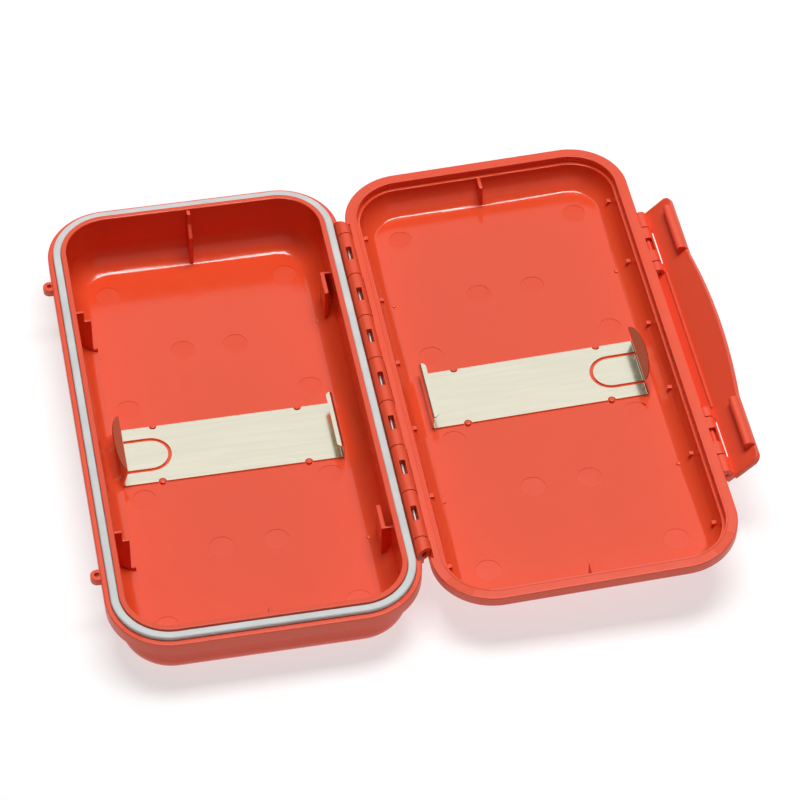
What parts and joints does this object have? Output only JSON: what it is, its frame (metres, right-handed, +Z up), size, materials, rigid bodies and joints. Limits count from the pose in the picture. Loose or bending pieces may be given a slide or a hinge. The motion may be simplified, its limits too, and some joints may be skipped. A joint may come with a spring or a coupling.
{
  "type": "first aid case",
  "caption": "Open waterproof first aid case: orange plastic tray and lid on a long rod hinge, grey silicone gasket, wide latch flap and a steel spring strip in each tray.",
  "frame": {"origin": "on the table under the middle of the open case's outer box; the base tray stands on Z = 0", "axes": "+X from the base tray across the hinge to the lid and latch, +Y along the hinge towards the rear, +Z up"},
  "size_m": [0.2308, 0.2, 0.0338],
  "materials": {
    "shell_plastic": "satin orange-red moulded plastic",
    "silicone": "matt pale grey silicone",
    "spring_steel": "fine brushed stainless sheet",
    "rod_steel": "drawn stainless rod"
  },
  "bodies": {
    "base": {"base_shell": "shell_plastic", "gasket": "silicone", "hinge_rod": "rod_steel", "base_strip": "spring_steel"},
    "lid": {"lid_shell": "shell_plastic", "lid_strip": "spring_steel", "latch_pin_rear": "shell_plastic", "latch_pin_front": "shell_plastic"},
    "latch": {"latch_flap": "shell_plastic"}
  },
  "joints": [
    {"name": "lid_hinge", "type": "hinge", "parent": "base", "child": "lid", "pos_m": [-0.00526, 0, 0.02236], "axis": [0, -1, 0], "range_deg": [0, 177.61], "deforming": ["gasket"]},
    {"name": "latch_pivot", "type": "hinge", "parent": "lid", "child": "latch", "pos_m": [0.10204, 0, 0.02386], "axis": [0, -1, 0], "range_deg": [-25, 46.5]}
  ]
}
